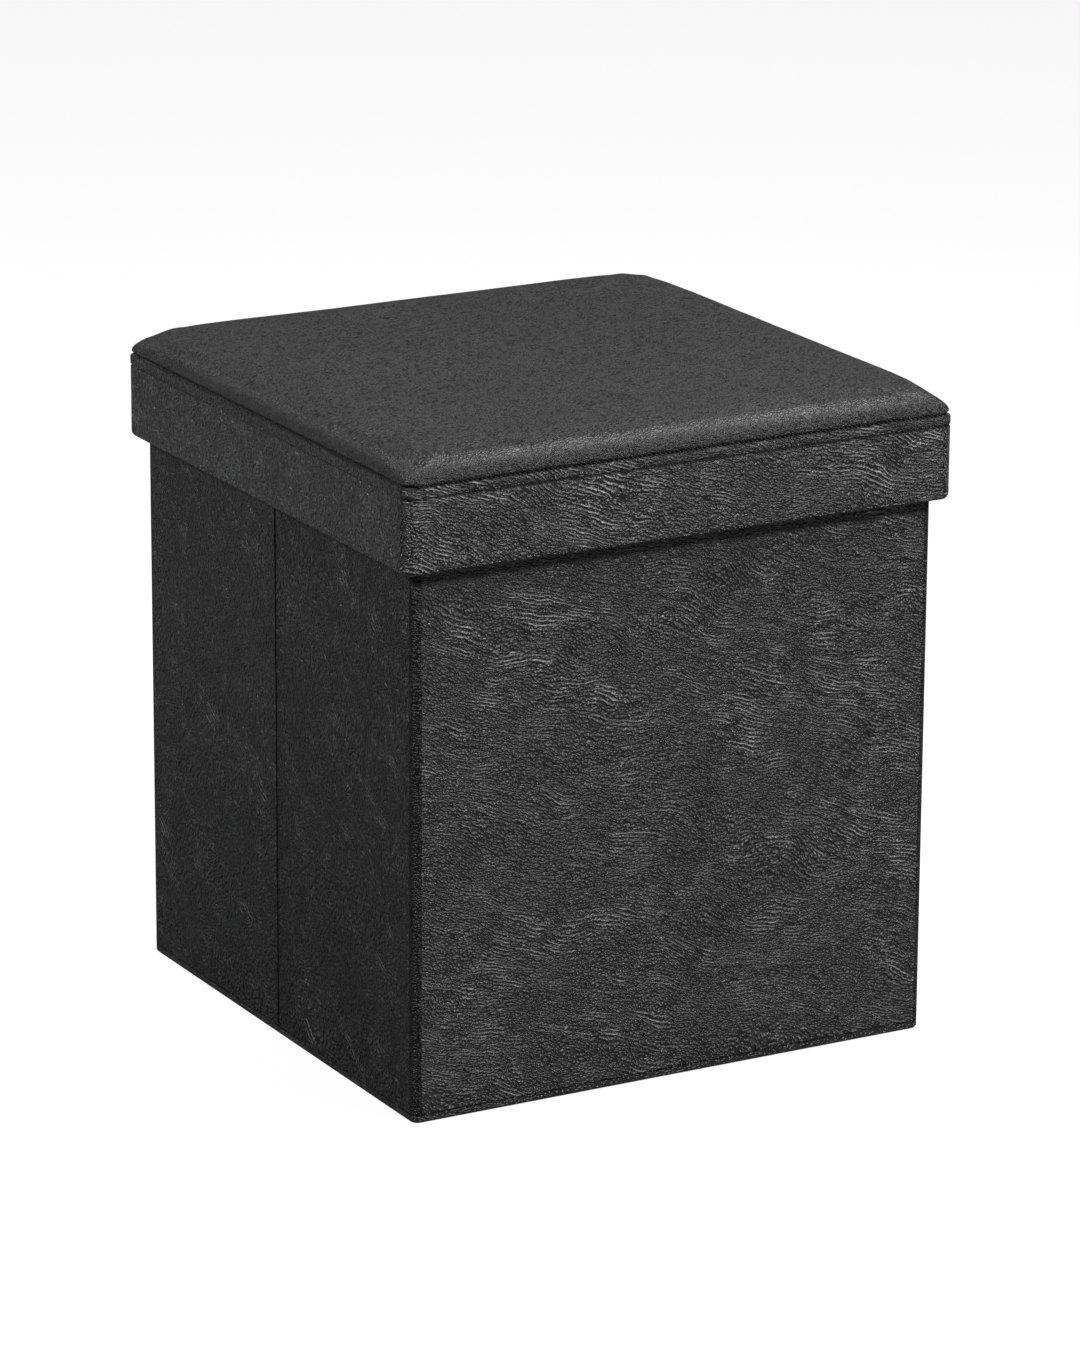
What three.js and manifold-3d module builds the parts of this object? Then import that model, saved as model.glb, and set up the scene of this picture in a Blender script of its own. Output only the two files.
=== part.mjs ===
// Folding storage ottoman: a square box of covered panels joined by soft hinges, with a padded
// lid that lifts straight off. The front and back walls stay flat, and each side wall is two
// halves with a crease between them, which folds inwards.
// Millimetres, +Z up. The origin is the middle of the underside, on the floor, and the front
// faces -Y.

import * as THREE from 'three';
import { mergeVertices } from 'three/addons/utils/BufferGeometryUtils.js';
import Module from 'manifold-3d';

const wasm = await Module();
wasm.setup();

// ---- driving sizes

const lidWidth = 380; // across the skirt, along X
const lidDepth = 380; // across the skirt, along Y
const overallHeight = 418; // floor to the top of the crown
const crownHeight = 17; // rise of the padded top above its seam
const crownPower = 9; // how late the crown falls off towards the seam
const skirtDrop = 54; // seam to the lower edge of the skirt
const foamThickness = 28; // at the middle of the lid
const lidBoardThickness = 9;
const hardboard = 3; // boards of the walls, base and skirt
const leather = 1; // outer covering
const lining = 0.6; // inner covering
const lidCornerRadius = 7;
const lidClearance = 3.4; // skirt to wall, on each side
const layerGap = 0.3; // between neighbouring layers and ends
const restGap = 0.3; // lid to wall tops, and walls to base
const hingeOffset = 0.3; // hinge axis to each face that folds against another
const creaseGap = 0.8; // between the two halves of a side wall
const cornerSteps = 6; // facets in a quarter turn
const crownSteps = 16; // cells across the padded top

// ---- sizes that follow

const panelThickness = leather + layerGap + hardboard + layerGap + lining;
const skirtThickness = leather + layerGap + hardboard + layerGap + leather;
const bodyWidth = lidWidth - 2 * (skirtThickness + lidClearance);
const bodyDepth = lidDepth - 2 * (skirtThickness + lidClearance);

// A corner hinge turns about the inner corner of the box, so its soft corner is an arc about it.
const bodyCornerRadius = panelThickness + hingeOffset;
const hingeX = bodyWidth / 2 - bodyCornerRadius;
const hingeY = bodyDepth / 2 - bodyCornerRadius;

const baseThickness = leather + layerGap + hardboard + layerGap + lining;
const wallFootZ = baseThickness + restGap;

const seamZ = overallHeight - crownHeight;
const skirtFootZ = seamZ - skirtDrop;
const foamFootZ = overallHeight - leather - layerGap - foamThickness;
const lidBoardFootZ = foamFootZ - layerGap - lidBoardThickness;
const lidUndersideZ = lidBoardFootZ - layerGap - lining;
const wallHeight = lidUndersideZ - restGap - wallFootZ;

// Inset from the skirt's outer face to the edges of the lid board, its lining and the foam.
const lidCoreInset = leather + layerGap + hardboard + layerGap;

// ---- materials

const leatherFinish = { color: 0x2b2b2d, roughness: 0.55, metalness: 0 };
const liningFinish = { color: 0x1c1c1e, roughness: 0.95, metalness: 0 };
const boardFinish = { color: 0x8a6a45, roughness: 0.8, metalness: 0 };
const foamFinish = { color: 0xe6dfc8, roughness: 1, metalness: 0 };

// ---- helpers

function part(name, geometry, finish) {
  const mesh = new THREE.Mesh(geometry, new THREE.MeshStandardMaterial(finish));
  mesh.name = name;
  return mesh;
}

// A box from a low corner, so that stacked layers are placed by their undersides.
function slab(length, thickness, height) {
  const box = new THREE.BoxGeometry(length, thickness, height);
  return box.translate(0, thickness / 2, height / 2);
}

function toSolid(geometry) {
  const bare = geometry.clone();
  bare.deleteAttribute('normal');
  bare.deleteAttribute('uv');
  const merged = mergeVertices(bare, 1e-4);
  return new wasm.Manifold(
    new wasm.Mesh({
      numProp: 3,
      vertProperties: new Float32Array(merged.attributes.position.array),
      triVerts: new Uint32Array(merged.index.array),
    }),
  );
}

function toGeometry(solid) {
  const mesh = solid.getMesh();
  const geometry = new THREE.BufferGeometry();
  geometry.setAttribute('position', new THREE.BufferAttribute(mesh.vertProperties, 3));
  geometry.setIndex(new THREE.BufferAttribute(mesh.triVerts, 1));
  return geometry;
}

// A rectangle with round corners, centred on the origin.
function roundedOutline(width, depth, radius) {
  const x = width / 2 - radius;
  const y = depth / 2 - radius;
  const outline = new THREE.Shape();
  outline.absarc(x, y, radius, 0, Math.PI / 2);
  outline.absarc(-x, y, radius, Math.PI / 2, Math.PI);
  outline.absarc(-x, -y, radius, Math.PI, 1.5 * Math.PI);
  outline.absarc(x, -y, radius, 1.5 * Math.PI, 2 * Math.PI);
  return outline;
}

function prism(outline, lowZ, highZ) {
  const geometry = new THREE.ExtrudeGeometry(outline, {
    depth: highZ - lowZ,
    bevelEnabled: false,
    curveSegments: cornerSteps,
  });
  return geometry.translate(0, 0, lowZ);
}

// The lid's plan, moved in from the skirt's outer face, between two heights.
function lidPrism(inset, lowZ, highZ) {
  const radius = Math.max(lidCornerRadius - inset, layerGap);
  return prism(roundedOutline(lidWidth - 2 * inset, lidDepth - 2 * inset, radius), lowZ, highZ);
}

// The body's plan, moved in from the walls' outer face, between two heights.
function bodyPrism(inset, lowZ, highZ) {
  const radius = bodyCornerRadius - inset;
  return prism(roundedOutline(bodyWidth - 2 * inset, bodyDepth - 2 * inset, radius), lowZ, highZ);
}

// ---- base

// The covering wraps the underside and the edge, and the board and its lining lie in it.
function makeBase() {
  const edgeInset = leather + layerGap;
  const boardFootZ = leather + layerGap;
  const liningFootZ = boardFootZ + hardboard + layerGap;
  const base = new THREE.Group();

  const wrap = toSolid(bodyPrism(0, 0, baseThickness));
  const tray = wrap.subtract(toSolid(bodyPrism(leather, leather, baseThickness + leather)));
  base.add(part('base_cover', toGeometry(tray), leatherFinish));

  const board = bodyPrism(edgeInset, boardFootZ, boardFootZ + hardboard);
  base.add(part('base_board', board, boardFinish));

  const top = bodyPrism(edgeInset, liningFootZ, liningFootZ + lining);
  base.add(part('base_lining', top, liningFinish));
  return base;
}

// ---- walls

// A covered wall panel in its own frame: it runs along X, its outer face is at y = 0 and its
// foot at z = 0. The covering turns over the board's upper and lower edges to meet the lining.
function makePanel(name, length) {
  const sleeve = new THREE.Shape();
  sleeve.moveTo(0, 0);
  sleeve.lineTo(panelThickness, 0);
  sleeve.lineTo(panelThickness, leather);
  sleeve.lineTo(leather, leather);
  sleeve.lineTo(leather, wallHeight - leather);
  sleeve.lineTo(panelThickness, wallHeight - leather);
  sleeve.lineTo(panelThickness, wallHeight);
  sleeve.lineTo(0, wallHeight);
  sleeve.closePath();
  const cover = new THREE.ExtrudeGeometry(sleeve, { depth: length, bevelEnabled: false });
  const alongX = new THREE.Matrix4().makeBasis(
    new THREE.Vector3(0, 1, 0),
    new THREE.Vector3(0, 0, 1),
    new THREE.Vector3(1, 0, 0),
  );
  cover.applyMatrix4(alongX).translate(-length / 2, 0, 0);

  const innerHeight = wallHeight - 2 * (leather + layerGap);
  const board = part(`${name}_board`, slab(length, hardboard, innerHeight), boardFinish);
  board.position.set(0, leather + layerGap, leather + layerGap);
  const inside = part(`${name}_lining`, slab(length, lining, innerHeight), liningFinish);
  inside.position.set(0, panelThickness - lining, leather + layerGap);

  const panel = new THREE.Group();
  panel.add(part(`${name}_cover`, cover, leatherFinish), board, inside);
  return panel;
}

// A full wall ends just short of its two corner hinges.
function makeFullWall(name, turn) {
  const wall = new THREE.Group();
  const panel = makePanel(name, 2 * (hingeX - layerGap));
  panel.position.set(0, -bodyDepth / 2, wallFootZ);
  wall.add(panel);
  wall.rotation.z = turn;
  return wall;
}

// A side wall is two halves, each from a corner hinge to the crease in the middle. In the
// wall's own frame, before it is turned, side is -1 for the half at low X.
function makeSideHalf(name, turn, side) {
  const innerEnd = creaseGap / 2;
  const outerEnd = hingeY - layerGap;
  const panel = makePanel(name, outerEnd - innerEnd);
  panel.position.set((side * (innerEnd + outerEnd)) / 2, -bodyWidth / 2, wallFootZ);
  const wall = new THREE.Group();
  wall.add(panel);
  wall.rotation.z = turn;
  return wall;
}

// The soft covering round one upright corner, a quarter turn about the hinge axis.
function makeCorner(name, sideX, sideY) {
  const start = Math.atan2(sideY, sideX) - Math.PI / 4;
  const end = start + Math.PI / 2;
  const strip = new THREE.Shape();
  strip.absarc(0, 0, bodyCornerRadius, start, end, false);
  strip.absarc(0, 0, bodyCornerRadius - leather, end, start, true);
  strip.closePath();
  const corner = part(name, prism(strip, 0, wallHeight), leatherFinish);
  corner.position.set(sideX * hingeX, sideY * hingeY, wallFootZ);
  return corner;
}

function makeBody() {
  const body = new THREE.Group();
  body.add(makeFullWall('front_wall', 0));
  body.add(makeFullWall('back_wall', Math.PI));
  body.add(makeSideHalf('left_rear', -Math.PI / 2, -1));
  body.add(makeSideHalf('left_front', -Math.PI / 2, 1));
  body.add(makeSideHalf('right_front', Math.PI / 2, -1));
  body.add(makeSideHalf('right_rear', Math.PI / 2, 1));
  body.add(makeCorner('front_left_corner', -1, -1));
  body.add(makeCorner('front_right_corner', 1, -1));
  body.add(makeCorner('rear_left_corner', -1, 1));
  body.add(makeCorner('rear_right_corner', 1, 1));
  return body;
}

// ---- lid

// Height of the padded top: level in the middle, falling to its rim at the seam.
function padHeight(x, y) {
  const rimZ = seamZ + leather;
  const acrossX = 1 - Math.abs((2 * x) / lidWidth) ** crownPower;
  const acrossY = 1 - Math.abs((2 * y) / lidDepth) ** crownPower;
  return rimZ + (overallHeight - rimZ) * acrossX * acrossY;
}

// All that lies between a level and a surface parallel to the padded top, so many millimetres
// under it. Cells are finer near the rim.
function underPad(drop, footZ) {
  const block = new THREE.BoxGeometry(2, 2, 2, crownSteps, crownSteps, 1);
  const points = block.attributes.position;
  for (let i = 0; i < points.count; i += 1) {
    const x = (lidWidth / 2) * Math.sin((points.getX(i) * Math.PI) / 2);
    const y = (lidDepth / 2) * Math.sin((points.getY(i) * Math.PI) / 2);
    const z = points.getZ(i) > 0 ? padHeight(x, y) - drop : footZ;
    points.setXYZ(i, x, y, z);
  }
  return toSolid(block);
}

function makeLidTop() {
  const aboveAll = overallHeight + leather;
  const sheet = underPad(0, foamFootZ).subtract(underPad(leather, foamFootZ - leather));
  const cover = sheet.intersect(toSolid(lidPrism(0, 0, aboveAll)));
  const padding = underPad(leather + layerGap, foamFootZ);
  const foam = padding.intersect(toSolid(lidPrism(lidCoreInset, 0, aboveAll)));
  const top = new THREE.Group();
  top.add(part('lid_top_cover', toGeometry(cover), leatherFinish));
  top.add(part('lid_foam', toGeometry(foam), foamFinish));
  return top;
}

function makeLidCore() {
  const core = new THREE.Group();
  const board = lidPrism(lidCoreInset, lidBoardFootZ, lidBoardFootZ + lidBoardThickness);
  core.add(part('lid_board', board, boardFinish));
  const underside = lidPrism(lidCoreInset, lidUndersideZ, lidUndersideZ + lining);
  core.add(part('lid_lining', underside, liningFinish));
  return core;
}

// The covering of all four skirt panels: down outside, under the boards and up inside.
function skirtSleeve() {
  const topZ = seamZ - layerGap;
  const innerTopZ = lidUndersideZ - layerGap;
  const innerInset = skirtThickness - leather;
  const outside = toSolid(lidPrism(0, skirtFootZ, topZ));
  const pocket = toSolid(lidPrism(leather, skirtFootZ + leather, topZ + leather));
  const insideLeaf = toSolid(lidPrism(innerInset, skirtFootZ, innerTopZ));
  const hollow = toSolid(lidPrism(skirtThickness, skirtFootZ - leather, topZ + leather));
  return outside.subtract(pocket).add(insideLeaf).subtract(hollow);
}

// The space outside one straight side of the lid and half of each corner beside it: its ends
// run out at 45 degrees through the corners' centres, less half a gap.
function sideWedge(turn, run, out) {
  const halfRun = run / 2 - lidCornerRadius - layerGap / Math.SQRT2;
  const cornerY = lidCornerRadius - out / 2;
  const wedge = new THREE.Shape();
  wedge.moveTo(halfRun - skirtThickness, cornerY + skirtThickness);
  wedge.lineTo(skirtThickness - halfRun, cornerY + skirtThickness);
  wedge.lineTo(-halfRun - lidCornerRadius, cornerY - lidCornerRadius);
  wedge.lineTo(halfRun + lidCornerRadius, cornerY - lidCornerRadius);
  wedge.closePath();
  return prism(wedge, 0, overallHeight).rotateZ(turn);
}

function makeSkirt() {
  const sleeve = skirtSleeve();
  const boardFootZ = skirtFootZ + leather + layerGap;
  const boardHeight = seamZ - layerGap - boardFootZ;
  const sides = [
    { name: 'front', turn: 0, run: lidWidth, out: lidDepth },
    { name: 'right', turn: Math.PI / 2, run: lidDepth, out: lidWidth },
    { name: 'back', turn: Math.PI, run: lidWidth, out: lidDepth },
    { name: 'left', turn: -Math.PI / 2, run: lidDepth, out: lidWidth },
  ];
  const skirt = new THREE.Group();
  for (const { name, turn, run, out } of sides) {
    const cover = sleeve.intersect(toSolid(sideWedge(turn, run, out)));
    skirt.add(part(`skirt_${name}_cover`, toGeometry(cover), leatherFinish));

    const boardLength = run - 2 * lidCornerRadius;
    const board = slab(boardLength, hardboard, boardHeight);
    board.translate(0, -out / 2 + leather + layerGap, boardFootZ);
    board.rotateZ(turn);
    skirt.add(part(`skirt_${name}_board`, board, boardFinish));
  }
  return skirt;
}

function makeLid() {
  const lid = new THREE.Group();
  lid.add(makeLidTop());
  lid.add(makeLidCore());
  lid.add(makeSkirt());
  return lid;
}

// ---- assembly

const ottoman = new THREE.Group();
ottoman.add(makeBase());
ottoman.add(makeBody());
ottoman.add(makeLid());

export default ottoman;
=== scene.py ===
# Folding storage ottoman in dark faux leather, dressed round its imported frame.
# Metres, +Z up, the front wall faces -Y.
import math
import bpy
from mathutils import Matrix, Vector, noise


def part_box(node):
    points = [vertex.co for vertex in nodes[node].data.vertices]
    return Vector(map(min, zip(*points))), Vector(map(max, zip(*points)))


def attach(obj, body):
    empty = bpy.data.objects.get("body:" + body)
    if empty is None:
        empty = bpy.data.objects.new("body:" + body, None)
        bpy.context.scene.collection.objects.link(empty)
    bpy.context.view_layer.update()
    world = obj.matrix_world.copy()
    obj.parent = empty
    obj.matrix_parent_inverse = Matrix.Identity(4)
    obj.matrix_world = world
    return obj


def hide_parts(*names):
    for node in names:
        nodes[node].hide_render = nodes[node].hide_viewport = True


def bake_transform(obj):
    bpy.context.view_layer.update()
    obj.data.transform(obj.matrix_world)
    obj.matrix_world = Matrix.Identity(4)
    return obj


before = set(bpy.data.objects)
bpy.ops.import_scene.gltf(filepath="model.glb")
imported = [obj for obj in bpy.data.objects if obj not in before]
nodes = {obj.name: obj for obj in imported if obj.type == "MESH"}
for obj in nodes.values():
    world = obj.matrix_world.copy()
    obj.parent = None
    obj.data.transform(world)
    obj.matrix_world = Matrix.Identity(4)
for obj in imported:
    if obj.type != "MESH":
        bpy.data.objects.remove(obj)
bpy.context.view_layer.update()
print("frame loaded:", len(nodes), "nodes")


# sizes read from the frame

def low(node):
    return Vector(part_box(node)[0])


def high(node):
    return Vector(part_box(node)[1])


sheet = 0.001                                    # the faux leather is 1 mm thick
lidHalf = high("lid_top_cover").xy               # skirt's outer face
lidTopZ = high("lid_top_cover").z
seamZ = low("lid_top_cover").z
skirtFootZ = low("skirt_front_cover").z
skirtInnerZ = low("lid_lining").z - 0.0003
skirtInset = low("skirt_front_board").y - low("skirt_front_cover").y
skirtDepth = high("skirt_front_board").y - low("skirt_front_board").y + 2 * skirtInset
lidRadius = lidHalf.x - high("skirt_front_board").x
bodyHalf = high("base_cover").xy
baseTopZ = high("base_cover").z
wallFootZ = low("front_wall_cover").z
wallTopZ = high("front_wall_cover").z
wallDepth = high("front_wall_cover").y - low("front_wall_cover").y
cornerRadius = high("front_right_corner").x - low("front_right_corner").x
hinge = bodyHalf - Vector((cornerRadius, cornerRadius))


# small tools

def deselectAll():
    if bpy.context.object and bpy.context.object.mode != "OBJECT":
        bpy.ops.object.mode_set(mode="OBJECT")
    bpy.ops.object.select_all(action="DESELECT")


def makeActive(piece):
    deselectAll()
    piece.select_set(True)
    bpy.context.view_layer.objects.active = piece


def pick(piece, kind, test):
    # selects by place or normal, then goes into edit mode in that select mode
    makeActive(piece)
    mesh = piece.data
    for group in (mesh.vertices, mesh.edges, mesh.polygons):
        group.foreach_set("select", [False] * len(group))
    if kind == "VERT":
        for v in mesh.vertices:
            v.select = test(v.co)
    elif kind == "EDGE":
        for e in mesh.edges:
            a, b = (mesh.vertices[i].co for i in e.vertices)
            e.select = test(a, b)
    else:
        for p in mesh.polygons:
            p.select = test(p.center, p.normal)
    # the select mode is set first, or edit mode would spread the selection over shared corners
    bpy.context.tool_settings.mesh_select_mode = [kind == k for k in ("VERT", "EDGE", "FACE")]
    bpy.ops.object.mode_set(mode="EDIT")


def leaveEdit():
    bpy.ops.object.mode_set(mode="OBJECT")


def applyAll(piece):
    makeActive(piece)
    bpy.ops.object.transform_apply(location=True, rotation=True, scale=True)


def applyModifiers(piece):
    makeActive(piece)
    for modifier in list(piece.modifiers):
        bpy.ops.object.modifier_apply(modifier=modifier.name)


def smooth(piece, degrees=40):
    makeActive(piece)
    bpy.ops.object.shade_smooth_by_angle(angle=math.radians(degrees))


def arc(centreDepth, centreZ, radius, fromDegrees, toDegrees, steps):
    # points of a bend in a profile, as (depth behind the outer face, height)
    points = []
    for i in range(steps + 1):
        a = math.radians(fromDegrees + (toDegrees - fromDegrees) * i / steps)
        points.append((centreDepth - radius * math.cos(a), centreZ + radius * math.sin(a)))
    return points


def setIn(node, **values):
    for name, value in values.items():
        node.inputs[name].default_value = value


# shader groups

def newGroup(name, inputs, outputs):
    group = bpy.data.node_groups.new(name, "ShaderNodeTree")
    for label, kind, value in inputs:
        socket = group.interface.new_socket(name=label, in_out="INPUT", socket_type=kind)
        if value is not None:
            socket.default_value = value
    for label, kind in outputs:
        group.interface.new_socket(name=label, in_out="OUTPUT", socket_type=kind)
    return group, group.nodes.new("NodeGroupInput"), group.nodes.new("NodeGroupOutput")


def mathNode(tree, operation, a, b=None):
    node = tree.nodes.new("ShaderNodeMath")
    node.operation = operation
    for i, value in enumerate((a, b)):
        if value is None:
            continue
        if isinstance(value, (int, float)):
            node.inputs[i].default_value = value
        else:
            tree.links.new(value, node.inputs[i])
    return node.outputs[0]


def rangeNode(tree, value, fromLow, fromHigh, toLow=0.0, toHigh=1.0, ease="SMOOTHSTEP"):
    node = tree.nodes.new("ShaderNodeMapRange")
    node.interpolation_type = ease
    tree.links.new(value, node.inputs["Value"])
    node.inputs["From Min"].default_value = fromLow
    node.inputs["From Max"].default_value = fromHigh
    node.inputs["To Min"].default_value = toLow
    node.inputs["To Max"].default_value = toHigh
    return node.outputs["Result"]


def noiseNode(tree, vector, scale, detail=2.0, rough=0.5):
    node = tree.nodes.new("ShaderNodeTexNoise")
    tree.links.new(vector, node.inputs["Vector"])
    if isinstance(scale, (int, float)):
        node.inputs["Scale"].default_value = scale
    else:
        tree.links.new(scale, node.inputs["Scale"])
    node.inputs["Detail"].default_value = detail
    node.inputs["Roughness"].default_value = rough
    return node


def vectorNode(tree, operation, a, b=None, c=None):
    node = tree.nodes.new("ShaderNodeVectorMath")
    node.operation = operation
    for i, value in enumerate((a, b, c)):
        if isinstance(value, tuple):
            node.inputs[i].default_value = value
        elif value is not None:
            tree.links.new(value, node.inputs[i])
    return node.outputs[0]


def makeCreaseGroup():
    # fine wrinkles of pressed faux leather: long along the group's X, short across it
    group, inn, out = newGroup(
        "leatherCreases",
        [("Vector", "NodeSocketVector", None), ("Spacing", "NodeSocketFloat", 0.003),
         ("Stretch", "NodeSocketFloat", 5.0), ("Cover", "NodeSocketFloat", 0.5),
         ("Pebble", "NodeSocketFloat", 0.0012)],
        [("Height", "NodeSocketFloat"), ("Crest", "NodeSocketFloat"),
         ("Valley", "NodeSocketFloat"), ("Cloud", "NodeSocketFloat")])
    link = group.links.new
    vector = inn.outputs["Vector"]
    # the hide wanders: wide and small noise bend the wrinkles' direction
    middle = (0.5, 0.5, 0.5)
    wide = vectorNode(group, "SUBTRACT", noiseNode(group, vector, 15.0, 1.0).outputs["Color"], middle)
    small = vectorNode(group, "SUBTRACT", noiseNode(group, vector, 75.0, 1.5).outputs["Color"], middle)
    bent = vectorNode(group, "MULTIPLY_ADD", wide, (0.02, 0.03, 0.03), vector)
    bent = vectorNode(group, "MULTIPLY_ADD", small, (0.003, 0.004, 0.004), bent)
    along = group.nodes.new("ShaderNodeCombineXYZ")
    link(mathNode(group, "DIVIDE", 1.0, inn.outputs["Stretch"]), along.inputs[0])
    along.inputs[1].default_value = 1.0
    along.inputs[2].default_value = 1.0
    squeezed = vectorNode(group, "MULTIPLY", bent, along.outputs[0])
    scale = mathNode(group, "DIVIDE", 0.75, inn.outputs["Spacing"])
    streaks = noiseNode(group, squeezed, scale, 2.5, 0.6)
    folds = rangeNode(group, streaks.outputs["Fac"], 0.34, 0.66)
    # longer wrinkles lie side by side in families, across the group's Z
    flow = group.nodes.new("ShaderNodeTexWave")
    flow.wave_type = "BANDS"
    flow.bands_direction = "Z"
    link(bent, flow.inputs["Vector"])
    link(mathNode(group, "DIVIDE", 0.3, inn.outputs["Spacing"]), flow.inputs["Scale"])
    setIn(flow, **{"Distortion": 4.0, "Detail": 2.0, "Detail Scale": 0.3, "Detail Roughness": 0.55})
    breaks = noiseNode(group, vectorNode(group, "MULTIPLY", bent, (0.4, 1.0, 1.0)), 130.0, 1.5)
    ridge = mathNode(group, "MULTIPLY", rangeNode(group, flow.outputs["Fac"], 0.3, 1.0),
                     rangeNode(group, breaks.outputs["Fac"], 0.36, 0.6))
    patch = noiseNode(group, vectorNode(group, "MULTIPLY", bent, (0.5, 1.0, 1.0)), 40.0, 2.0, 0.6)
    lowEdge = mathNode(group, "SUBTRACT", 0.68, mathNode(group, "MULTIPLY", inn.outputs["Cover"], 0.4))
    gate = group.nodes.new("ShaderNodeMapRange")
    gate.interpolation_type = "SMOOTHSTEP"
    link(patch.outputs["Fac"], gate.inputs["Value"])
    link(lowEdge, gate.inputs["From Min"])
    link(mathNode(group, "ADD", lowEdge, 0.34), gate.inputs["From Max"])
    gated = mathNode(group, "MULTIPLY", ridge, gate.outputs["Result"])
    foldGate = rangeNode(group, gate.outputs["Result"], 0.0, 1.0, 0.62, 1.0, "LINEAR")
    foldHeight = mathNode(group, "MULTIPLY", folds, foldGate)
    # pressed pebbles between the wrinkles
    pebbles = group.nodes.new("ShaderNodeTexVoronoi")
    pebbles.feature = "SMOOTH_F1"
    pebbles.inputs["Smoothness"].default_value = 0.3
    link(vectorNode(group, "MULTIPLY", bent, (0.5, 1.0, 1.0)), pebbles.inputs["Vector"])
    link(mathNode(group, "DIVIDE", 1.0, inn.outputs["Pebble"]), pebbles.inputs["Scale"])
    dome = rangeNode(group, pebbles.outputs["Distance"], 0.1, 0.75, 1.0, 0.0)
    total = mathNode(group, "ADD", mathNode(group, "MULTIPLY", foldHeight, 0.6),
                     mathNode(group, "MULTIPLY", gated, 0.8))
    total = mathNode(group, "ADD", total, mathNode(group, "MULTIPLY", dome, 0.85))
    link(total, out.inputs["Height"])
    # the crest mask marks the tops of the long wrinkles and of the pebbles; it carries a painted highlight
    # there and a little more gloss
    knobs = rangeNode(group, mathNode(group, "MULTIPLY", foldHeight, dome), 0.4, 0.85)
    knobs = mathNode(group, "MULTIPLY", knobs, 0.85)
    crest = mathNode(group, "MAXIMUM", mathNode(group, "POWER", gated, 2.0), knobs)
    link(crest, out.inputs["Crest"])
    # painted shade in the troughs between the long wrinkles and in the hollows between pebbles, as dark as
    # the painted highlight on the crests is bright
    trough = mathNode(group, "MULTIPLY", mathNode(group, "SUBTRACT", 1.0, ridge), gate.outputs["Result"])
    pits = mathNode(group, "SUBTRACT", 1.0, mathNode(group, "MAXIMUM", foldHeight, dome))
    link(mathNode(group, "MAXIMUM", pits, mathNode(group, "MULTIPLY", trough, 0.75)), out.inputs["Valley"])
    link(noiseNode(group, vector, 9.0, 3.0, 0.6).outputs["Fac"], out.inputs["Cloud"])
    return group


def makeSeamGroup():
    # 1 close to a level, 0 away from it: for gathers and rubbed edges along a sewn line
    group, inn, out = newGroup(
        "nearLevel",
        [("Vector", "NodeSocketVector", None), ("Level", "NodeSocketFloat", 0.4),
         ("Reach", "NodeSocketFloat", 0.006)],
        [("Near", "NodeSocketFloat")])
    split = group.nodes.new("ShaderNodeSeparateXYZ")
    group.links.new(inn.outputs["Vector"], split.inputs[0])
    away = mathNode(group, "ABSOLUTE", mathNode(group, "SUBTRACT", split.outputs["Z"], inn.outputs["Level"]))
    share = mathNode(group, "DIVIDE", away, inn.outputs["Reach"])
    group.links.new(rangeNode(group, share, 0.0, 1.0, 1.0, 0.0), out.inputs["Near"])
    return group


creaseGroup = makeCreaseGroup()
seamGroup = makeSeamGroup()


def groupNode(tree, group, **values):
    node = tree.nodes.new("ShaderNodeGroup")
    node.node_tree = group
    setIn(node, **values)
    return node


def newMaterial(name, **surface):
    material = bpy.data.materials.new(name)
    material.use_nodes = True
    tree = material.node_tree
    shader = tree.nodes["Principled BSDF"]
    setIn(shader, **surface)
    coords = tree.nodes.new("ShaderNodeTexCoord").outputs["Object"]
    return material, tree, shader, coords


def mixColour(tree, factor, a, b):
    node = tree.nodes.new("ShaderNodeMix")
    node.data_type = "RGBA"
    tree.links.new(factor, node.inputs["Factor"])
    for socket, value in ((node.inputs[6], a), (node.inputs[7], b)):
        if isinstance(value, tuple):
            socket.default_value = (*value, 1.0)
        else:
            tree.links.new(value, socket)
    return node.outputs[2]


# faux leather

leatherLook = {
    "valleyShade": (0.0025, 0.0025, 0.0027),       # painted shade in the valleys of the grain, also used along the topstitch
    "base": (0.042, 0.042, 0.0441),
    "crestHighlight": (0.3, 0.3, 0.307),              # painted highlight on the crests of the grain
    "grainDepth": 0.0022,
    "gather": 1.6,                          # height of the puckers beside a seam
}


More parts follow.
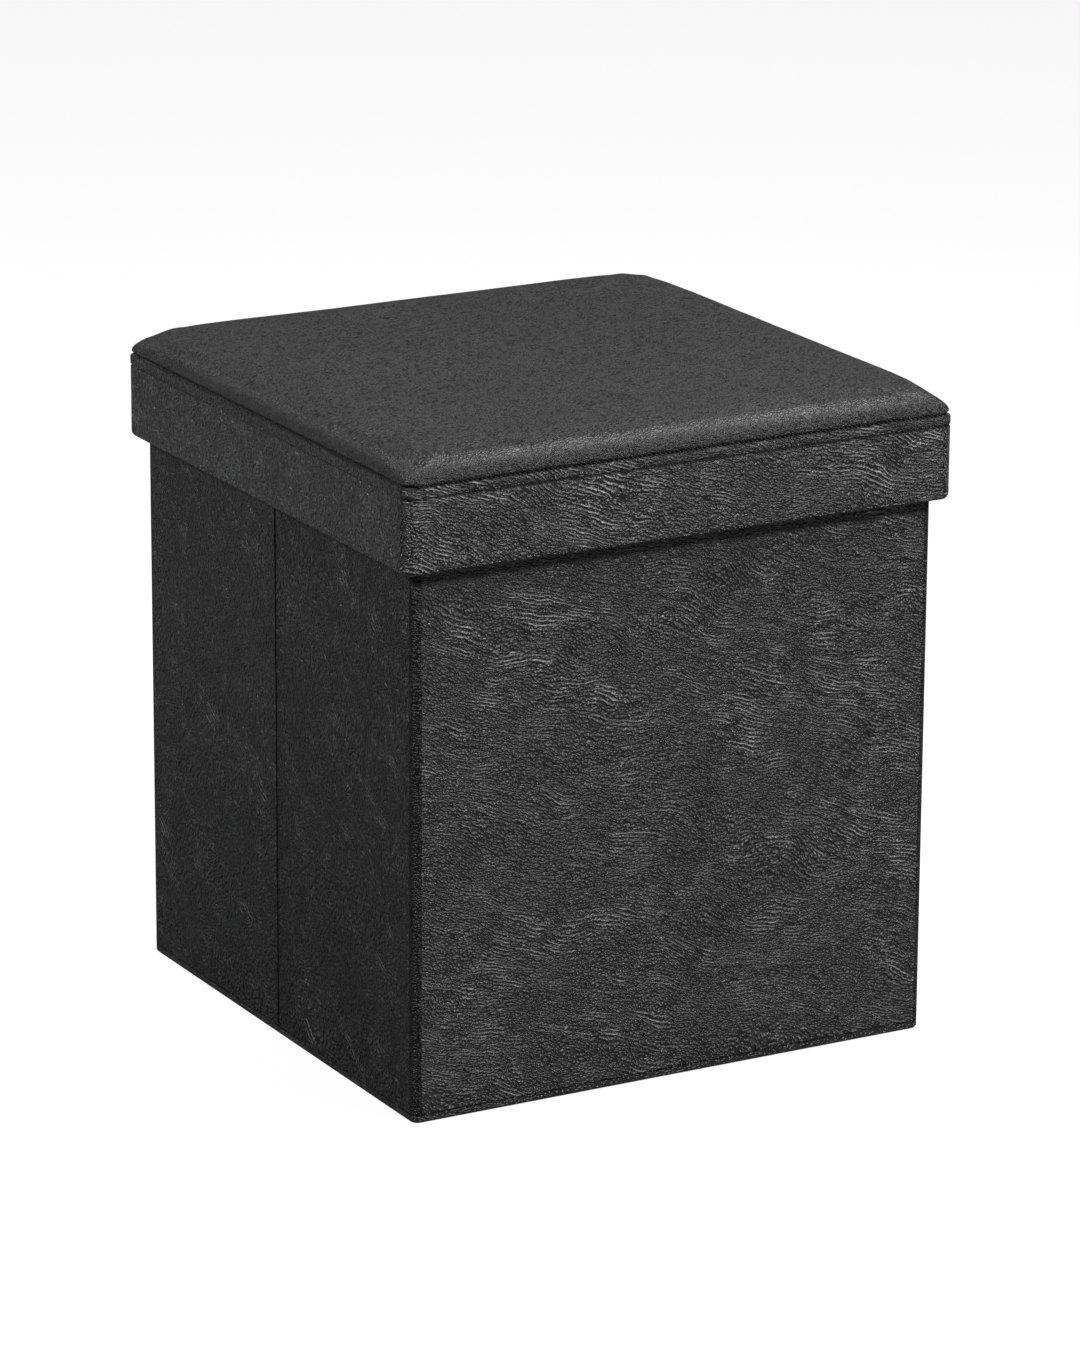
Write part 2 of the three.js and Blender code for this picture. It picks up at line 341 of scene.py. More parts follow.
def makeLeather(name, turn, spacing=0.0024, stretch=3.2, cover=0.6, crestTone=0.7, depth=1.0,
                rough=0.42, gloss=0.42, gatherAt=None, gatherReach=0.006, sewnAt=None, shade=1.0,
                pebble=0.0013):
    # turn is the Mapping rotation in degrees that lays the wrinkles' long way over the piece
    material, tree, shader, coords = newMaterial(name, **{"Specular IOR Level": gloss, "IOR": 1.5})
    link = tree.links.new
    mapping = tree.nodes.new("ShaderNodeMapping")
    mapping.vector_type = "TEXTURE"
    mapping.inputs["Rotation"].default_value = [math.radians(a) for a in turn]
    link(coords, mapping.inputs["Vector"])
    creases = groupNode(tree, creaseGroup, Spacing=spacing, Stretch=stretch, Cover=cover, Pebble=pebble)
    link(mapping.outputs[0], creases.inputs["Vector"])
    look = leatherLook
    # shade makes lit and shaded copies of the leather: above 1 it is painted light, below 1 painted shade
    base = tuple(c * shade for c in look["base"])
    valleyShade = tuple(c * shade for c in look["valleyShade"])
    # painted shade darkens the valleys of the grain, and a painted highlight lightens its crests
    ground = mixColour(tree, creases.outputs["Valley"], base, valleyShade)
    crestFactor = mathNode(tree, "MULTIPLY", creases.outputs["Crest"], crestTone)
    tone = mixColour(tree, crestFactor, ground, look["crestHighlight"])
    if sewnAt is not None:
        # thread holes and shade along the topstitch
        sewn = groupNode(tree, seamGroup, Level=sewnAt, Reach=0.0013)
        link(coords, sewn.inputs["Vector"])
        tone = mixColour(tree, mathNode(tree, "MULTIPLY", sewn.outputs["Near"], 0.85), tone, look["valleyShade"])
    link(tone, shader.inputs["Base Color"])
    roughness = rangeNode(tree, creases.outputs["Cloud"], 0.3, 0.7, rough - 0.05, rough + 0.06, "LINEAR")
    link(mathNode(tree, "SUBTRACT", roughness, mathNode(tree, "MULTIPLY", creases.outputs["Crest"], 0.08)),
         shader.inputs["Roughness"])
    height = creases.outputs["Height"]
    if gatherAt is not None:
        near = groupNode(tree, seamGroup, Level=gatherAt, Reach=gatherReach)
        link(coords, near.inputs["Vector"])
        gathers = noiseNode(tree, coords, 700.0, 2.0, 0.6)
        lift = mathNode(tree, "MULTIPLY", gathers.outputs["Fac"], near.outputs["Near"])
        height = mathNode(tree, "ADD", height, mathNode(tree, "MULTIPLY", lift, look["gather"] / depth))
    bump = tree.nodes.new("ShaderNodeBump")
    bump.inputs["Strength"].default_value = 1.0
    bump.inputs["Distance"].default_value = look["grainDepth"] * depth
    link(height, bump.inputs["Height"])
    link(bump.outputs["Normal"], shader.inputs["Normal"])
    return material


# lit and shaded copies of one leather: shade scales its base and valley colours, so the side walls, the
# corners and the base band are darker as painted shade, and the skirt, most of all its sides, is lighter as
# painted light
frontLeather = makeLeather("leather_front", (0, 17, 0), cover=0.8)
sideLeather = makeLeather("leather_side", (0, -38, 90), cover=0.55, crestTone=0.8, shade=0.76,
                          depth=1.3, gloss=0.26)
skirtFrontLeather = makeLeather("leather_skirt_front", (0, 20, 0), cover=0.8, shade=1.1,
                                gatherAt=seamZ - 0.003, gatherReach=0.005, sewnAt=seamZ - 0.0068)
skirtSideLeather = makeLeather("leather_skirt_side", (0, -38, 90), cover=0.45, depth=1.2, crestTone=0.6,
                               shade=1.55, gatherAt=seamZ - 0.003, gatherReach=0.005, sewnAt=seamZ - 0.0068)
padLeather = makeLeather("leather_pad", (90, 0, 35), spacing=0.0026, stretch=2.0, cover=0.15,
                         crestTone=0.08, depth=0.22, rough=0.4, gatherAt=seamZ + 0.004, gatherReach=0.011)
foldLeather = makeLeather("leather_fold", (0, 0, 0), stretch=1.5, cover=0.1, crestTone=0.1, depth=0.5,
                          shade=0.6)
cornerLeather = makeLeather("leather_corner", (0, 0, 0), stretch=2.5, cover=0.5, crestTone=0.35,
                            shade=0.45, gloss=0.2)


# other finishes

def makeThread():
    material, tree, shader, coords = newMaterial("stitch_thread", **{"Roughness": 0.62})
    twist = tree.nodes.new("ShaderNodeTexWave")
    twist.inputs["Scale"].default_value = 900.0
    tree.links.new(coords, twist.inputs["Vector"])
    tree.links.new(mixColour(tree, twist.outputs["Fac"], (0.004, 0.004, 0.0045), (0.012, 0.012, 0.013)),
                   shader.inputs["Base Color"])
    bump = tree.nodes.new("ShaderNodeBump")
    bump.inputs["Distance"].default_value = 0.0001
    tree.links.new(twist.outputs["Fac"], bump.inputs["Height"])
    tree.links.new(bump.outputs["Normal"], shader.inputs["Normal"])
    return material


def makeLining():
    # spun-bonded black cloth with its rows of pressed dots
    material, tree, shader, coords = newMaterial("lining_cloth", **{"Roughness": 0.9})
    dots = tree.nodes.new("ShaderNodeTexVoronoi")
    dots.inputs["Scale"].default_value = 420.0
    dots.inputs["Randomness"].default_value = 0.15
    tree.links.new(coords, dots.inputs["Vector"])
    pressed = rangeNode(tree, dots.outputs["Distance"], 0.18, 0.4, 0.0, 1.0)
    fibres = noiseNode(tree, coords, 1500.0, 3.0, 0.7)
    cloth = mixColour(tree, fibres.outputs["Fac"], (0.012, 0.012, 0.013), (0.038, 0.038, 0.04))
    tree.links.new(mixColour(tree, pressed, (0.008, 0.008, 0.009), cloth), shader.inputs["Base Color"])
    height = mathNode(tree, "ADD", pressed, mathNode(tree, "MULTIPLY", fibres.outputs["Fac"], 0.5))
    bump = tree.nodes.new("ShaderNodeBump")
    bump.inputs["Distance"].default_value = 0.00025
    tree.links.new(height, bump.inputs["Height"])
    tree.links.new(bump.outputs["Normal"], shader.inputs["Normal"])
    return material


def makeBoard():
    material, tree, shader, coords = newMaterial("pressed_board", **{"Roughness": 0.7})
    flakes = noiseNode(tree, coords, 380.0, 4.0, 0.7)
    blotch = noiseNode(tree, coords, 14.0, 2.0)
    fibre = mixColour(tree, rangeNode(tree, flakes.outputs["Fac"], 0.35, 0.65), (0.09, 0.045, 0.02),
                      (0.27, 0.155, 0.075))
    tree.links.new(mixColour(tree, mathNode(tree, "MULTIPLY", blotch.outputs["Fac"], 0.5), fibre,
                             (0.2, 0.12, 0.06)), shader.inputs["Base Color"])
    bump = tree.nodes.new("ShaderNodeBump")
    bump.inputs["Distance"].default_value = 0.0002
    tree.links.new(flakes.outputs["Fac"], bump.inputs["Height"])
    tree.links.new(bump.outputs["Normal"], shader.inputs["Normal"])
    return material


threadFinish = makeThread()
liningFinish = makeLining()
boardFinish = makeBoard()
print("finishes made")


def dress(piece, material, slot, body, *replaced):
    piece.data.materials.clear()
    piece.data.materials.append(material)
    if body:
        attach(piece, body)
    if replaced:
        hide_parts(*replaced)


# sewn sheets, drawn as a profile and pushed along a side

endStrip = 0.0009                                # narrow column at each end, to turn in at a seam


def sewnSheet(name, profile, run, runSteps, bendRadius=0.0, bendSteps=8):
    # The profile is (depth behind the outer face, height). The sheet's outer face is at y = 0 and it
    # runs from x = run to x = 0, then a quarter turn to the left round a corner if there is a radius.
    deselectAll()
    bpy.ops.mesh.primitive_plane_add(size=0.002, location=(0, 0, 0))
    piece = bpy.context.object
    piece.name = name
    bpy.ops.object.mode_set(mode="EDIT")
    bpy.ops.mesh.select_mode(type="VERT")
    bpy.ops.mesh.select_all(action="SELECT")
    bpy.ops.mesh.merge(type="CENTER")
    bpy.ops.transform.translate(value=(run, profile[0][0], profile[0][1]))
    for (d0, z0), (d1, z1) in zip(profile, profile[1:]):
        bpy.ops.mesh.extrude_region_move(TRANSFORM_OT_translate={"value": (0, d1 - d0, z1 - z0)})
    bpy.ops.mesh.select_all(action="SELECT")
    even = (run - 2 * endStrip) / max(runSteps, 1)
    strides = [endStrip] + [even] * runSteps + [endStrip] if runSteps else [run]
    for stride in strides:
        bpy.ops.mesh.extrude_region_move(TRANSFORM_OT_translate={"value": (-stride, 0, 0)})
    if bendRadius:
        bpy.ops.mesh.spin(steps=bendSteps, angle=math.radians(90), center=(0, bendRadius, 0),
                          axis=(0, 0, 1))
    leaveEdit()
    return piece


def turnIn(piece, x, depth, reach=0.0024):
    # the end of a sheet dips behind its outer face, where it is sewn or creased
    for v in piece.data.vertices:
        if abs(v.co.x - x) < 0.0001 and v.co.y < reach:
            v.co.y += depth


def facesOut(piece, point, outward):
    # turns the sheet over if its face nearest to a point looks the wrong way
    nearest = min(piece.data.polygons, key=lambda p: (p.center - point).length)
    if nearest.normal.dot(outward) < 0:
        pick(piece, "FACE", lambda c, n: True)
        bpy.ops.mesh.flip_normals()
        leaveEdit()


def thicken(piece, thickness=sheet):
    solid = piece.modifiers.new("thickness", "SOLIDIFY")
    solid.thickness = thickness
    solid.offset = -1
    solid.use_even_offset = True
    applyModifiers(piece)


def placeSide(piece, turnDegrees, corner):
    # turns a sheet about Z and moves the start of its corner bend to its place
    piece.data.transform(Matrix.Translation((corner[0], corner[1], 0)) @ Matrix.Rotation(
        math.radians(turnDegrees), 4, "Z"))
    piece.data.update()


sides = {  # turn from the front wall, and the direction its outer face looks in
    "front": (0, Vector((0, -1, 0))),
    "left": (-90, Vector((-1, 0, 0))),
    "back": (180, Vector((0, 1, 0))),
    "right": (90, Vector((1, 0, 0))),
}


# lid skirt

skirtLook = {
    "footRadius": 0.0040,        # the covering rolls under the board
    "bandHeight": 0.0068,        # seam to topstitch
    "bandProud": 0.0002,         # the band above the topstitch stands out a little
    "bandRadius": 0.0014,
    "stitchDip": 0.0009,
    "runSteps": 70,
    "wave": 0.00025,
    "pucker": 0.0003,            # the gathered band above the topstitch
    "turnIn": 0.0009,
}


def skirtProfile():
    look = skirtLook
    r = look["footRadius"]
    top = seamZ - 0.0002
    stitch = seamZ - look["bandHeight"]
    proud = look["bandProud"]
    bend = look["bandRadius"]
    points = [(skirtDepth - 0.0006, top), (0.0028, top)]
    points += arc(bend - proud, top - bend, bend, 90, 0, 5)
    points += [(-proud, stitch + 0.0024), (-0.5 * proud, stitch + 0.0009)]
    points += [(look["stitchDip"], stitch), (0.0, stitch - 0.0009)]
    z = stitch - 0.0035
    while z > skirtFootZ + r + 0.003:
        points.append((0.0, z))
        z -= 0.004
    points += arc(r, skirtFootZ + r, r, 0, -90, 6)
    inner = skirtDepth
    points += arc(inner - 0.0014, skirtFootZ + 0.0014, 0.0014, -90, -180, 3)
    points += [(inner, skirtFootZ + 0.012), (inner, skirtInnerZ)]
    return points


def makeSkirt():
    for side, (turn, outward) in sides.items():
        acrossHalf = lidHalf.x if side in ("front", "back") else lidHalf.y
        outHalf = lidHalf.y if side in ("front", "back") else lidHalf.x
        run = 2 * (acrossHalf - lidRadius)
        piece = sewnSheet(f"skirt_{side}", skirtProfile(), run, skirtLook["runSteps"], lidRadius)
        for v in piece.data.vertices:
            # the upper band gathers a little, the rest waves gently, and both ends turn in at the seam
            drop = seamZ - v.co.z
            if v.co.y < 0.003 and v.co.x > 0:
                ripple = noise.noise(Vector((v.co.x * 34, v.co.z * 30, turn)))
                v.co.y += skirtLook["wave"] * ripple * min(1, max(0, drop - 0.008) / 0.01)
                if drop < 0.0055:
                    pucker = noise.noise(Vector((v.co.x * 160, drop * 90, turn)))
                    v.co.y += skirtLook["pucker"] * pucker
        turnIn(piece, run, skirtLook["turnIn"])
        for v in piece.data.vertices:
            if v.co.y > lidRadius - 0.0001 and v.co.x < -lidRadius + 0.0024:
                v.co.x += skirtLook["turnIn"]
        placeSide(piece, turn, Matrix.Rotation(math.radians(turn), 2) @ Vector((lidRadius - acrossHalf,
                                                                               -outHalf)))
        facesOut(piece, outward * outHalf + Vector((0, 0, skirtFootZ + 0.02)), outward)
        thicken(piece)
        smooth(piece, 50)
        material = skirtFrontLeather if side in ("front", "back") else skirtSideLeather
        dress(piece, material, "faux_leather", "lid", f"skirt_{side}_cover")


makeSkirt()
print("skirt sewn")


# body walls

wallLook = {"topRadius": 0.0018, "footRadius": 0.0008, "runSteps": 40, "halfSteps": 22, "wave": 0.00022,
            "rows": 22, "creaseGap": 0.0003, "creaseDip": 0.0009}


def wallProfile():
    look = wallLook
    top = look["topRadius"]
    foot = look["footRadius"]
    points = [(wallDepth, wallTopZ)]
    points += arc(top, wallTopZ - top, top, 90, 0, 4)
    rows = look["rows"]
    lowZ = wallFootZ + foot
    step = (wallTopZ - top - lowZ) / rows
    points += [(0.0, wallTopZ - top - step * i) for i in range(1, rows)]
    points += arc(foot, lowZ, foot, 0, -90, 4)
    points += [(wallDepth, wallFootZ)]
    return points


def wave(piece, seed, run, amount):
    # the covered board is never quite flat, but its ends stay in line with the corners
    for v in piece.data.vertices:
        if v.co.y < 0.0005:
            fade = min(1, max(0, min(v.co.x, run - v.co.x)) / 0.03)
            v.co.y += amount * fade * noise.noise(Vector((v.co.x * 14, v.co.z * 14, seed)))


def makeFullWall(side, node, body):
    turn, outward = sides[side]
    run = 2 * hinge.x
    piece = sewnSheet(node + "_covering", wallProfile(), run, wallLook["runSteps"])
    wave(piece, turn, run, wallLook["wave"])
    placeSide(piece, turn, Matrix.Rotation(math.radians(turn), 2) @ Vector((-hinge.x, -bodyHalf.y)))
    facesOut(piece, outward * bodyHalf.y + Vector((0, 0, 0.2)), outward)
    thicken(piece)
    smooth(piece)
    dress(piece, frontLeather, "faux_leather", body, node + "_cover")


def makeHalfWall(side, node, body, front):
    turn, outward = sides[side]
    run = hinge.y - wallLook["creaseGap"] / 2
    piece = sewnSheet(node + "_covering", wallProfile(), run, wallLook["halfSteps"])
    wave(piece, turn + front, run, wallLook["wave"])
    # local x runs to the front on the left side, and to the back on the right side
    towardsHighX = (side == "left") == front
    start = wallLook["creaseGap"] / 2 if towardsHighX else -hinge.y
    turnIn(piece, 0.0 if towardsHighX else run, wallLook["creaseDip"])
    placeSide(piece, turn, Matrix.Rotation(math.radians(turn), 2) @ Vector((start, -bodyHalf.x)))
    facesOut(piece, outward * bodyHalf.x + Vector((0, (-1 if front else 1) * run / 2, 0.2)), outward)
    thicken(piece)
    smooth(piece)
    dress(piece, sideLeather, "faux_leather", body, node + "_cover")


def makeCorner(node, sideX, sideY, body, other):
    # the covering turns round the hinge at the box's inner corner
    turn = {(-1, -1): 0, (-1, 1): -90, (1, 1): 180, (1, -1): 90}[(sideX, sideY)]
    piece = sewnSheet(node + "_covering", wallProfile(), 0.0003, 0, cornerRadius, 10)
    keep = Matrix.Rotation(math.radians(turn), 2)
    corner = Vector((sideX * hinge.x, sideY * hinge.y)) + keep @ Vector((0, -cornerRadius))
    placeSide(piece, turn, corner)
    outward = Vector((sideX, sideY, 0)).normalized()
    middle = Vector((sideX * hinge.x, sideY * hinge.y, 0.2)) + outward * cornerRadius
    facesOut(piece, middle, outward)
    thicken(piece)
    smooth(piece)
    dress(piece, cornerLeather, "faux_leather", None if other else body, node)
    if other:
        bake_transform(piece)


makeFullWall("front", "front_wall", "front")
makeFullWall("back", "back_wall", "base_and_back")
makeHalfWall("left", "left_rear", "left_rear_half", False)
makeHalfWall("left", "left_front", "left_front_half", True)
makeHalfWall("right", "right_rear", "right_rear_half", False)
makeHalfWall("right", "right_front", "right_front_half", True)
makeCorner("front_left_corner", -1, -1, "front", "left_front_half")
makeCorner("front_right_corner", 1, -1, "front", None)
makeCorner("rear_left_corner", -1, 1, "base_and_back", "left_rear_half")
makeCorner("rear_right_corner", 1, 1, "base_and_back", "right_rear_half")
print("walls covered")


# padded top

padLook = {
    "voxel": 0.0045,
    "slab": 0.010,            # height above the seam before it is shaped
    "inset": 0.0003,          # the edge stands this far inside the skirt's face
    "roll": 0.0125,           # how far in the edge roll reaches along a side
    "shoulder": 0.034,        # corner radius of the flat top inside the roll
    "pressure": 4.0,
    "cap": 0.006,
    "crown": 0.0014,
    "tuck": 0.0005,           # pulled in by the seam
    "gather": 0.0005,
}


def insideRound(x, y, half, radius):
    # distance inside a rounded square, negative outside it
    qx = abs(x) - half + radius
    qy = abs(y) - half + radius
    return radius - math.hypot(max(qx, 0), max(qy, 0)) - min(max(qx, qy), 0)


def makePad():
    look = padLook
    foot = low("lid_foam").z
    half = lidHalf - Vector((look["inset"], look["inset"]))
    height = look["slab"]
    deselectAll()
    bpy.ops.mesh.primitive_cube_add(size=1, location=(0, 0, seamZ + height / 2 + 0.0001))
    pad = bpy.context.object
    pad.name = "seat_pad"
    pad.scale = (2 * half.x, 2 * half.y, height)
    applyAll(pad)
    pick(pad, "EDGE", lambda a, b: abs(a.z - b.z) > height / 2)
    bpy.ops.mesh.bevel(offset=lidRadius, segments=5)
    leaveEdit()
    pick(pad, "FACE", lambda c, n: n.z < -0.9 and c.z < seamZ + 0.001)
    bpy.ops.mesh.inset(thickness=skirtDepth + 0.001)
    bpy.ops.mesh.extrude_region_move(TRANSFORM_OT_translate={"value": (0, 0, foot - seamZ)})
    leaveEdit()
    remesh = pad.modifiers.new("remesh", "REMESH")
    remesh.mode = "VOXEL"
    remesh.voxel_size = look["voxel"]
    applyModifiers(pad)
    swell(pad)
    subdivision = pad.modifiers.new("subdivision", "SUBSURF")
    subdivision.levels = 1
    subdivision.render_levels = 1
    applyModifiers(pad)
    shapePad(pad)
    pick(pad, "FACE", lambda c, n: True)
    bpy.ops.mesh.normals_make_consistent(inside=False)
    leaveEdit()
    smooth(pad, 180)
    dress(pad, padLeather, "faux_leather", "lid", "lid_top_cover", "lid_foam")


def swell(pad):
    look = padLook
    before = [v.co.copy() for v in pad.data.vertices]
    group = pad.vertex_groups.new(name="sewn")
    held = [v.index for v in pad.data.vertices if v.co.z < seamZ + 0.003]
    group.add(held, 1.0, "REPLACE")
    cloth = pad.modifiers.new("cloth", "CLOTH")
    settings = cloth.settings
    settings.quality = 5
    settings.mass = 0.3
    settings.tension_stiffness = 20
    settings.compression_stiffness = 20
    settings.shear_stiffness = 12
    settings.bending_stiffness = 2.0
    settings.use_pressure = True
    settings.uniform_pressure_force = look["pressure"]
    settings.vertex_group_mass = "sewn"
    settings.effector_weights.gravity = 0
    for number in range(1, 21):
        bpy.context.scene.frame_set(number)
    applyModifiers(pad)
    bpy.context.scene.frame_set(1)
    for v, start in zip(pad.data.vertices, before):
        move = v.co - start
        if move.length > look["cap"]:
            v.co = start + move * (look["cap"] / move.length)
    pad.vertex_groups.clear()


def shapePad(pad):
    # The cover is sewn down all round: it rolls over its edge tightly along the sides and falls away
    # more slowly at the corners. What the swelling gave is kept as the crown of the top.
    look = padLook
    rise = lidTopZ - seamZ - look["crown"]
    half = lidHalf.x - look["inset"]
    slabTop = seamZ + look["slab"]
    swollen = max(v.co.z for v in pad.data.vertices) - slabTop
    for v in pad.data.vertices:
        height = v.co.z - seamZ
        if height < -0.002:
            continue
        x, y = v.co.x, v.co.y
        edge = max(0, insideRound(x, y, half, lidRadius))
        short = max(0, -insideRound(x, y, half - look["roll"], look["shoulder"]))
        if height < 0.0006:
            # the overhanging underside stays flat, and its rim is pulled in
            pull = look["tuck"] * max(0, 1 - edge / 0.003)
            v.co = Vector((x * (1 - pull / half), y * (1 - pull / half), seamZ + 0.0001))
            continue
        reach = edge + short
        length = math.pi / 2 * math.sqrt((reach * reach + rise * rise) / 2)
        up = min(1, height / look["slab"])
        turn = math.pi / 2
        if short > 0:
            turn *= min(1, (up * (length - reach) + edge) / length)
        inward = reach * (1 - math.cos(turn)) - edge if short > 0 else 0
        inward *= max(0, 1 - edge / 0.007)
        inward += look["tuck"] * max(0, 1 - height / 0.0035) ** 2
        crown = max(0, v.co.z - slabTop) / max(swollen, 0.0005)
        gather = look["gather"] * noise.noise(Vector((x * 75, y * 75, 2.0))) * math.cos(turn)
        soft = 0.0004 * noise.noise(Vector((x * 11, y * 11, 7.0))) * math.sin(turn)
        v.co = Vector((x * (1 - inward / half), y * (1 - inward / half),
                       seamZ + rise * math.sin(turn) + look["crown"] * crown + gather + soft))
    print("pad shaped, top at", round(max(v.co.z for v in pad.data.vertices), 4))


makePad()


# stitches

topstitchLook = {"length": 0.0034, "gap": 0.0009, "radius": 0.0004, "depth": 0.0005, "slant": 0}
seamStitchLook = {"length": 0.0022, "gap": 0.0010, "radius": 0.00035, "depth": 0.0006, "slant": 38}


def stitchBar(look):
    # one stitch is a six-sided bar with pinched ends
    half = look["length"] / 2
    deselectAll()
    bpy.ops.mesh.primitive_cylinder_add(vertices=6, radius=look["radius"], depth=look["length"],
                                        rotation=(0, math.radians(90), 0))
    bar = bpy.context.object
    applyAll(bar)
    pick(bar, "FACE", lambda c, n: abs(n.x) > 0.9)
    bpy.ops.mesh.inset(thickness=look["radius"] * 0.4)
    bpy.ops.mesh.extrude_region_shrink_fatten(TRANSFORM_OT_shrink_fatten={"value": 0.00008})
    leaveEdit()
    for v in bar.data.vertices:
        if abs(v.co.x) > half * 0.98:
            v.co.z -= 0.00006
            v.co.y += look["radius"] * 0.8          # the ends go down into the leather
    return bar


def makeStitches(name, z, look):
    bar = stitchBar(look)
    pitch = look["length"] + look["gap"]
    copies = []
    for side, (turn, _) in sides.items():
        acrossHalf = lidHalf.x if side in ("front", "back") else lidHalf.y
        outHalf = lidHalf.y if side in ("front", "back") else lidHalf.x
        count = int((2 * acrossHalf - 2 * lidRadius - 0.003) / pitch)
        for i in range(count + 1):
            x = (i - count / 2) * pitch
            copy = bar.copy()
            copy.data = bar.data.copy()
            copy.data.transform(
                Matrix.Rotation(math.radians(turn), 4, "Z")
                @ Matrix.Translation((x, -outHalf + look["depth"], z))
                @ Matrix.Rotation(math.radians(look["slant"]), 4, "Y"))
            bpy.context.collection.objects.link(copy)
            copies.append(copy)
    bpy.data.objects.remove(bar)
    deselectAll()
    for copy in copies:
        copy.select_set(True)
    bpy.context.view_layer.objects.active = copies[0]
    bpy.ops.object.join()
    row = bpy.context.object
    row.name = name
    smooth(row, 60)
    dress(row, threadFinish, "faux_leather", "lid")


makeStitches("topstitch", seamZ - skirtLook["bandHeight"], topstitchLook)
makeStitches("seam_stitch", seamZ + 0.0004, seamStitchLook)
print("stitched")


# lining pleats where the side walls crease

pleatLook = {"overlap": 0.006, "thickness": 0.00004, "rows": 24, "axisProud": 0.0003}


def makePleat(side, rear):
    # The lining turns in at the crease and lies along each half's end as far as the crease's own axis,
    # just outside the outer faces. Only its fold, on the axis, belongs to both halves.
    # Its points are (distance towards the front, depth behind the wall's outer face).
    look = pleatLook
    sideX = -1 if side == "left" else 1
    footZ = low(rear + "_lining").z
    topZ = high(rear + "_lining").z
    inner = wallDepth + 0.0001
    path = [(-look["overlap"], inner), (-0.0012, inner), (-0.0004, inner - 0.0003),
            (-0.00012, inner - 0.0012), (-0.00008, 0.0006), (0.0, -look["axisProud"]),
            (0.00008, 0.0006), (0.00012, inner - 0.0012), (0.0004, inner - 0.0003),
            (0.0012, inner), (look["overlap"], inner)]
    outer = sideX * bodyHalf.x
    points = [Vector((outer - sideX * d, -f, footZ)) for f, d in path]
    deselectAll()
    bpy.ops.mesh.primitive_plane_add(size=0.002, location=(0, 0, 0))
    pleat = bpy.context.object
    pleat.name = side + "_lining_pleat"
    bpy.ops.object.mode_set(mode="EDIT")
    bpy.ops.mesh.select_mode(type="VERT")
    bpy.ops.mesh.select_all(action="SELECT")
    bpy.ops.mesh.merge(type="CENTER")
    bpy.ops.transform.translate(value=points[0])
    for a, b in zip(points, points[1:]):
        bpy.ops.mesh.extrude_region_move(TRANSFORM_OT_translate={"value": b - a})
    bpy.ops.mesh.select_all(action="SELECT")
    for _ in range(look["rows"]):
        bpy.ops.mesh.extrude_region_move(
            TRANSFORM_OT_translate={"value": (0, 0, (topZ - footZ) / look["rows"])})
    leaveEdit()
    inwards = Vector((-sideX, 0, 0))
    facesOut(pleat, Vector((outer - sideX * inner, 0.004, 0.2)), inwards)
    solid = pleat.modifiers.new("thickness", "SOLIDIFY")
    solid.thickness = look["thickness"]
    solid.offset = 0
    applyModifiers(pleat)
    smooth(pleat, 30)
    dress(pleat, liningFinish, "lining_fabric", None)
    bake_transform(pleat)


makePleat("left", "left_rear")
makePleat("right", "right_rear")
print("pleats tucked")


# base covering

baseLook = {"edgeRadius": 0.0026, "edgeSteps": 5}


def makeBase():
    # a shallow tray of covering round the base board, its lower edge rounded
    deselectAll()
    edge = baseLook["edgeRadius"]
    height = baseTopZ - edge
    bpy.ops.mesh.primitive_cube_add(size=1, location=(0, 0, edge + height / 2))
    base = bpy.context.object
    base.name = "base_covering"
    base.scale = (2 * bodyHalf.x, 2 * bodyHalf.y, height)
    applyAll(base)
    pick(base, "EDGE", lambda a, b: abs(a.z - b.z) > height / 2)
    bpy.ops.mesh.bevel(offset=cornerRadius, segments=8)
    leaveEdit()
    # the lower edge is rounded by stepping the bottom inwards and down
    pick(base, "FACE", lambda c, n: n.z < -0.9)
    turns = [math.pi / 2 * i / baseLook["edgeSteps"] for i in range(baseLook["edgeSteps"] + 1)]
    for a, b in zip(turns, turns[1:]):
        bpy.ops.mesh.inset(thickness=edge * (math.cos(a) - math.cos(b)),
                           depth=edge * (math.sin(b) - math.sin(a)))
    leaveEdit()
    pick(base, "FACE", lambda c, n: n.z > 0.9)
    bpy.ops.mesh.inset(thickness=sheet)
    bpy.ops.mesh.extrude_region_move(TRANSFORM_OT_translate={"value": (0, 0, sheet - baseTopZ)})
    leaveEdit()
    smooth(base, 40)
    dress(base, foldLeather, "faux_leather", "base_and_back", "base_cover")


makeBase()
print("base wrapped")


# what stays as the frame has it

for name, node in nodes.items():
    finish = liningFinish if name.endswith("lining") else boardFinish
    node.data.materials.clear()
    node.data.materials.append(finish)


# camera, floor and light

cameraLook = {"at": (-1.8244, -3.2809, 1.3489), "heading": -29.156, "down": 16.884, "roll": 0.315,
              "lens": 164.9, "sensor": 36}


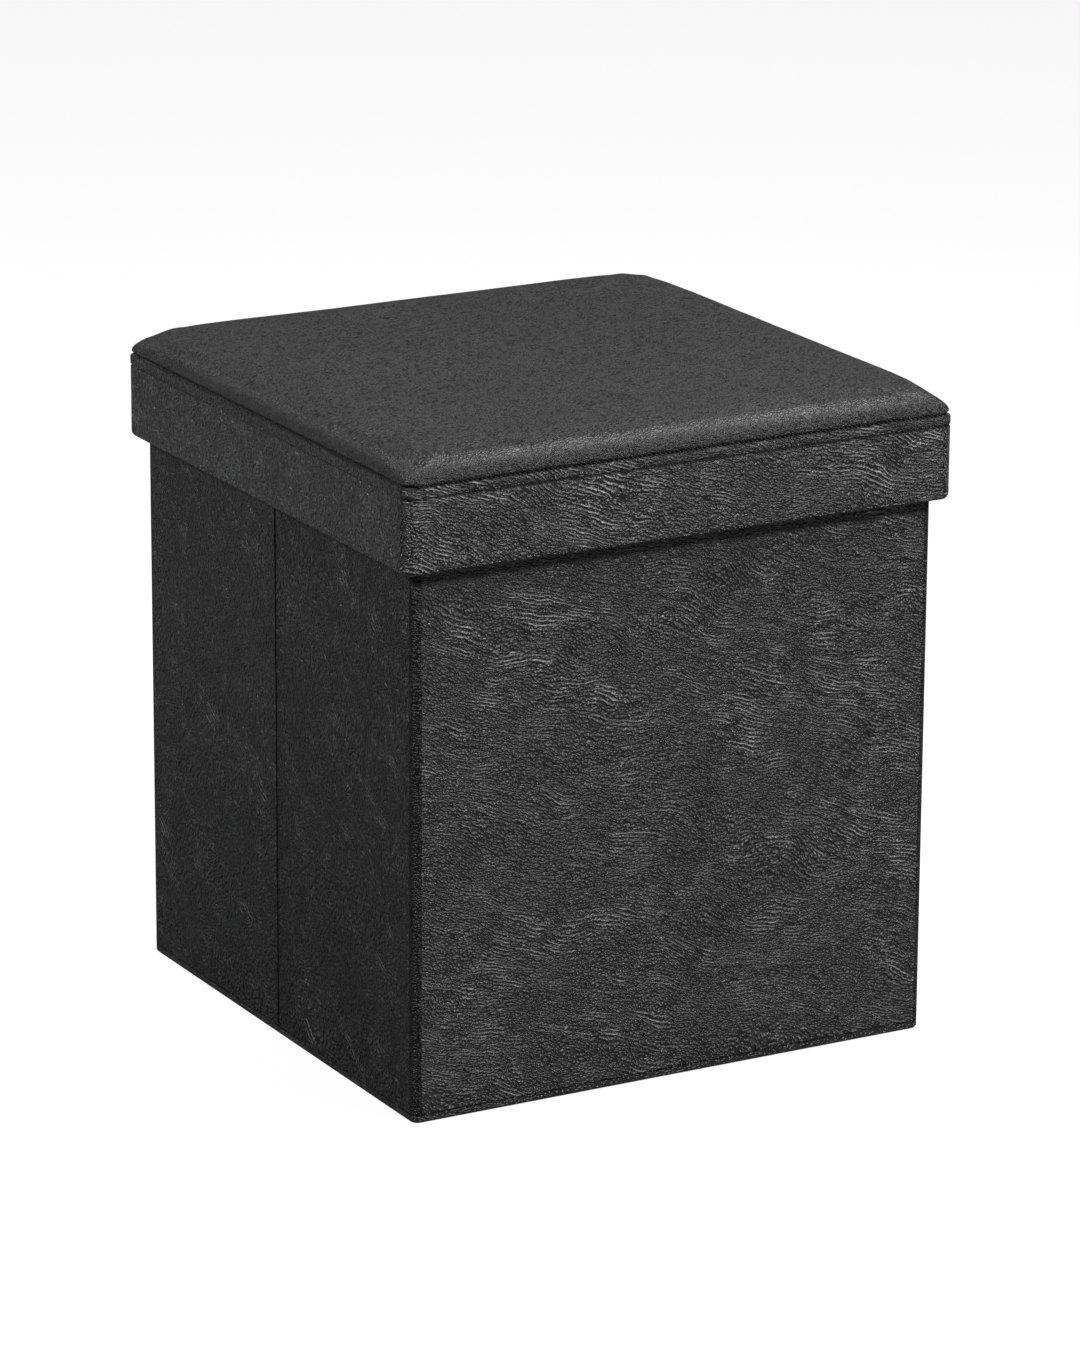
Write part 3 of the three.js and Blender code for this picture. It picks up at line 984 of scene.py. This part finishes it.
def makeCamera():
    place = cameraLook
    data = bpy.data.cameras.new("camera")
    data.lens = place["lens"]
    data.sensor_width = place["sensor"]
    camera = bpy.data.objects.new("camera", data)
    bpy.context.collection.objects.link(camera)
    turn = (Matrix.Rotation(math.radians(place["heading"]), 4, "Z")
            @ Matrix.Rotation(math.radians(90 - place["down"]), 4, "X")
            @ Matrix.Rotation(math.radians(place["roll"]), 4, "Z"))
    camera.matrix_world = Matrix.Translation(place["at"]) @ turn
    data.clip_end = 50
    bpy.context.scene.camera = camera


def cameraOnly(tree, bright, dim):
    # what the camera sees stays white, while the covering reflects a dimmer room
    path = tree.nodes.new("ShaderNodeLightPath")
    return rangeNode(tree, path.outputs["Is Camera Ray"], 0.0, 1.0, dim, bright, "LINEAR")


roomLook = {"floorTone": 0.22, "floorGlow": 0.86, "backdrop": 1.0, "ambient": 0.14}


def makeFloor():
    deselectAll()
    bpy.ops.mesh.primitive_plane_add(size=30, location=(0, 0, -0.0002))
    floor = bpy.context.object
    floor.name = "floor"
    material, tree, shader, _ = newMaterial("pale_floor", **{"Roughness": 0.9})
    tone = roomLook["floorTone"]
    setIn(shader, **{"Base Color": (tone, tone, tone, 1), "Emission Color": (1, 1, 1, 1)})
    tree.links.new(cameraOnly(tree, roomLook["floorGlow"], 0.0), shader.inputs["Emission Strength"])
    floor.data.materials.append(material)


def areaLight(name, place, target, size, power):
    data = bpy.data.lights.new(name, "AREA")
    data.shape = "RECTANGLE"
    data.size, data.size_y = size
    data.energy = power
    light = bpy.data.objects.new(name, data)
    bpy.context.collection.objects.link(light)
    light.location = place
    aim = Vector(target) - Vector(place)
    light.rotation_euler = aim.to_track_quat("-Z", "Y").to_euler()


lightLook = {  # place, what it aims at, size and watts
    "overhead": ((0.7, -0.4, 1.75), (0, 0, 0.4), (1.2, 0.6), 17),
    "front": ((0.6, -1.35, 1.75), (0, 0, 0.35), (0.5, 0.4), 58),
    "left": ((-1.7, 0.8, 1.5), (0, 0, 0.35), (0.5, 0.5), 38),
}


def makeLight():
    for name, light in lightLook.items():
        areaLight(name, *light)
    world = bpy.data.worlds.new("studio")
    world.use_nodes = True
    background = world.node_tree.nodes["Background"]
    background.inputs["Color"].default_value = (1, 1, 1, 1)
    world.node_tree.links.new(cameraOnly(world.node_tree, roomLook["backdrop"], roomLook["ambient"]),
                              background.inputs["Strength"])
    bpy.context.scene.world = world
    bpy.context.scene.view_settings.view_transform = "Standard"


makeCamera()
makeFloor()
makeLight()
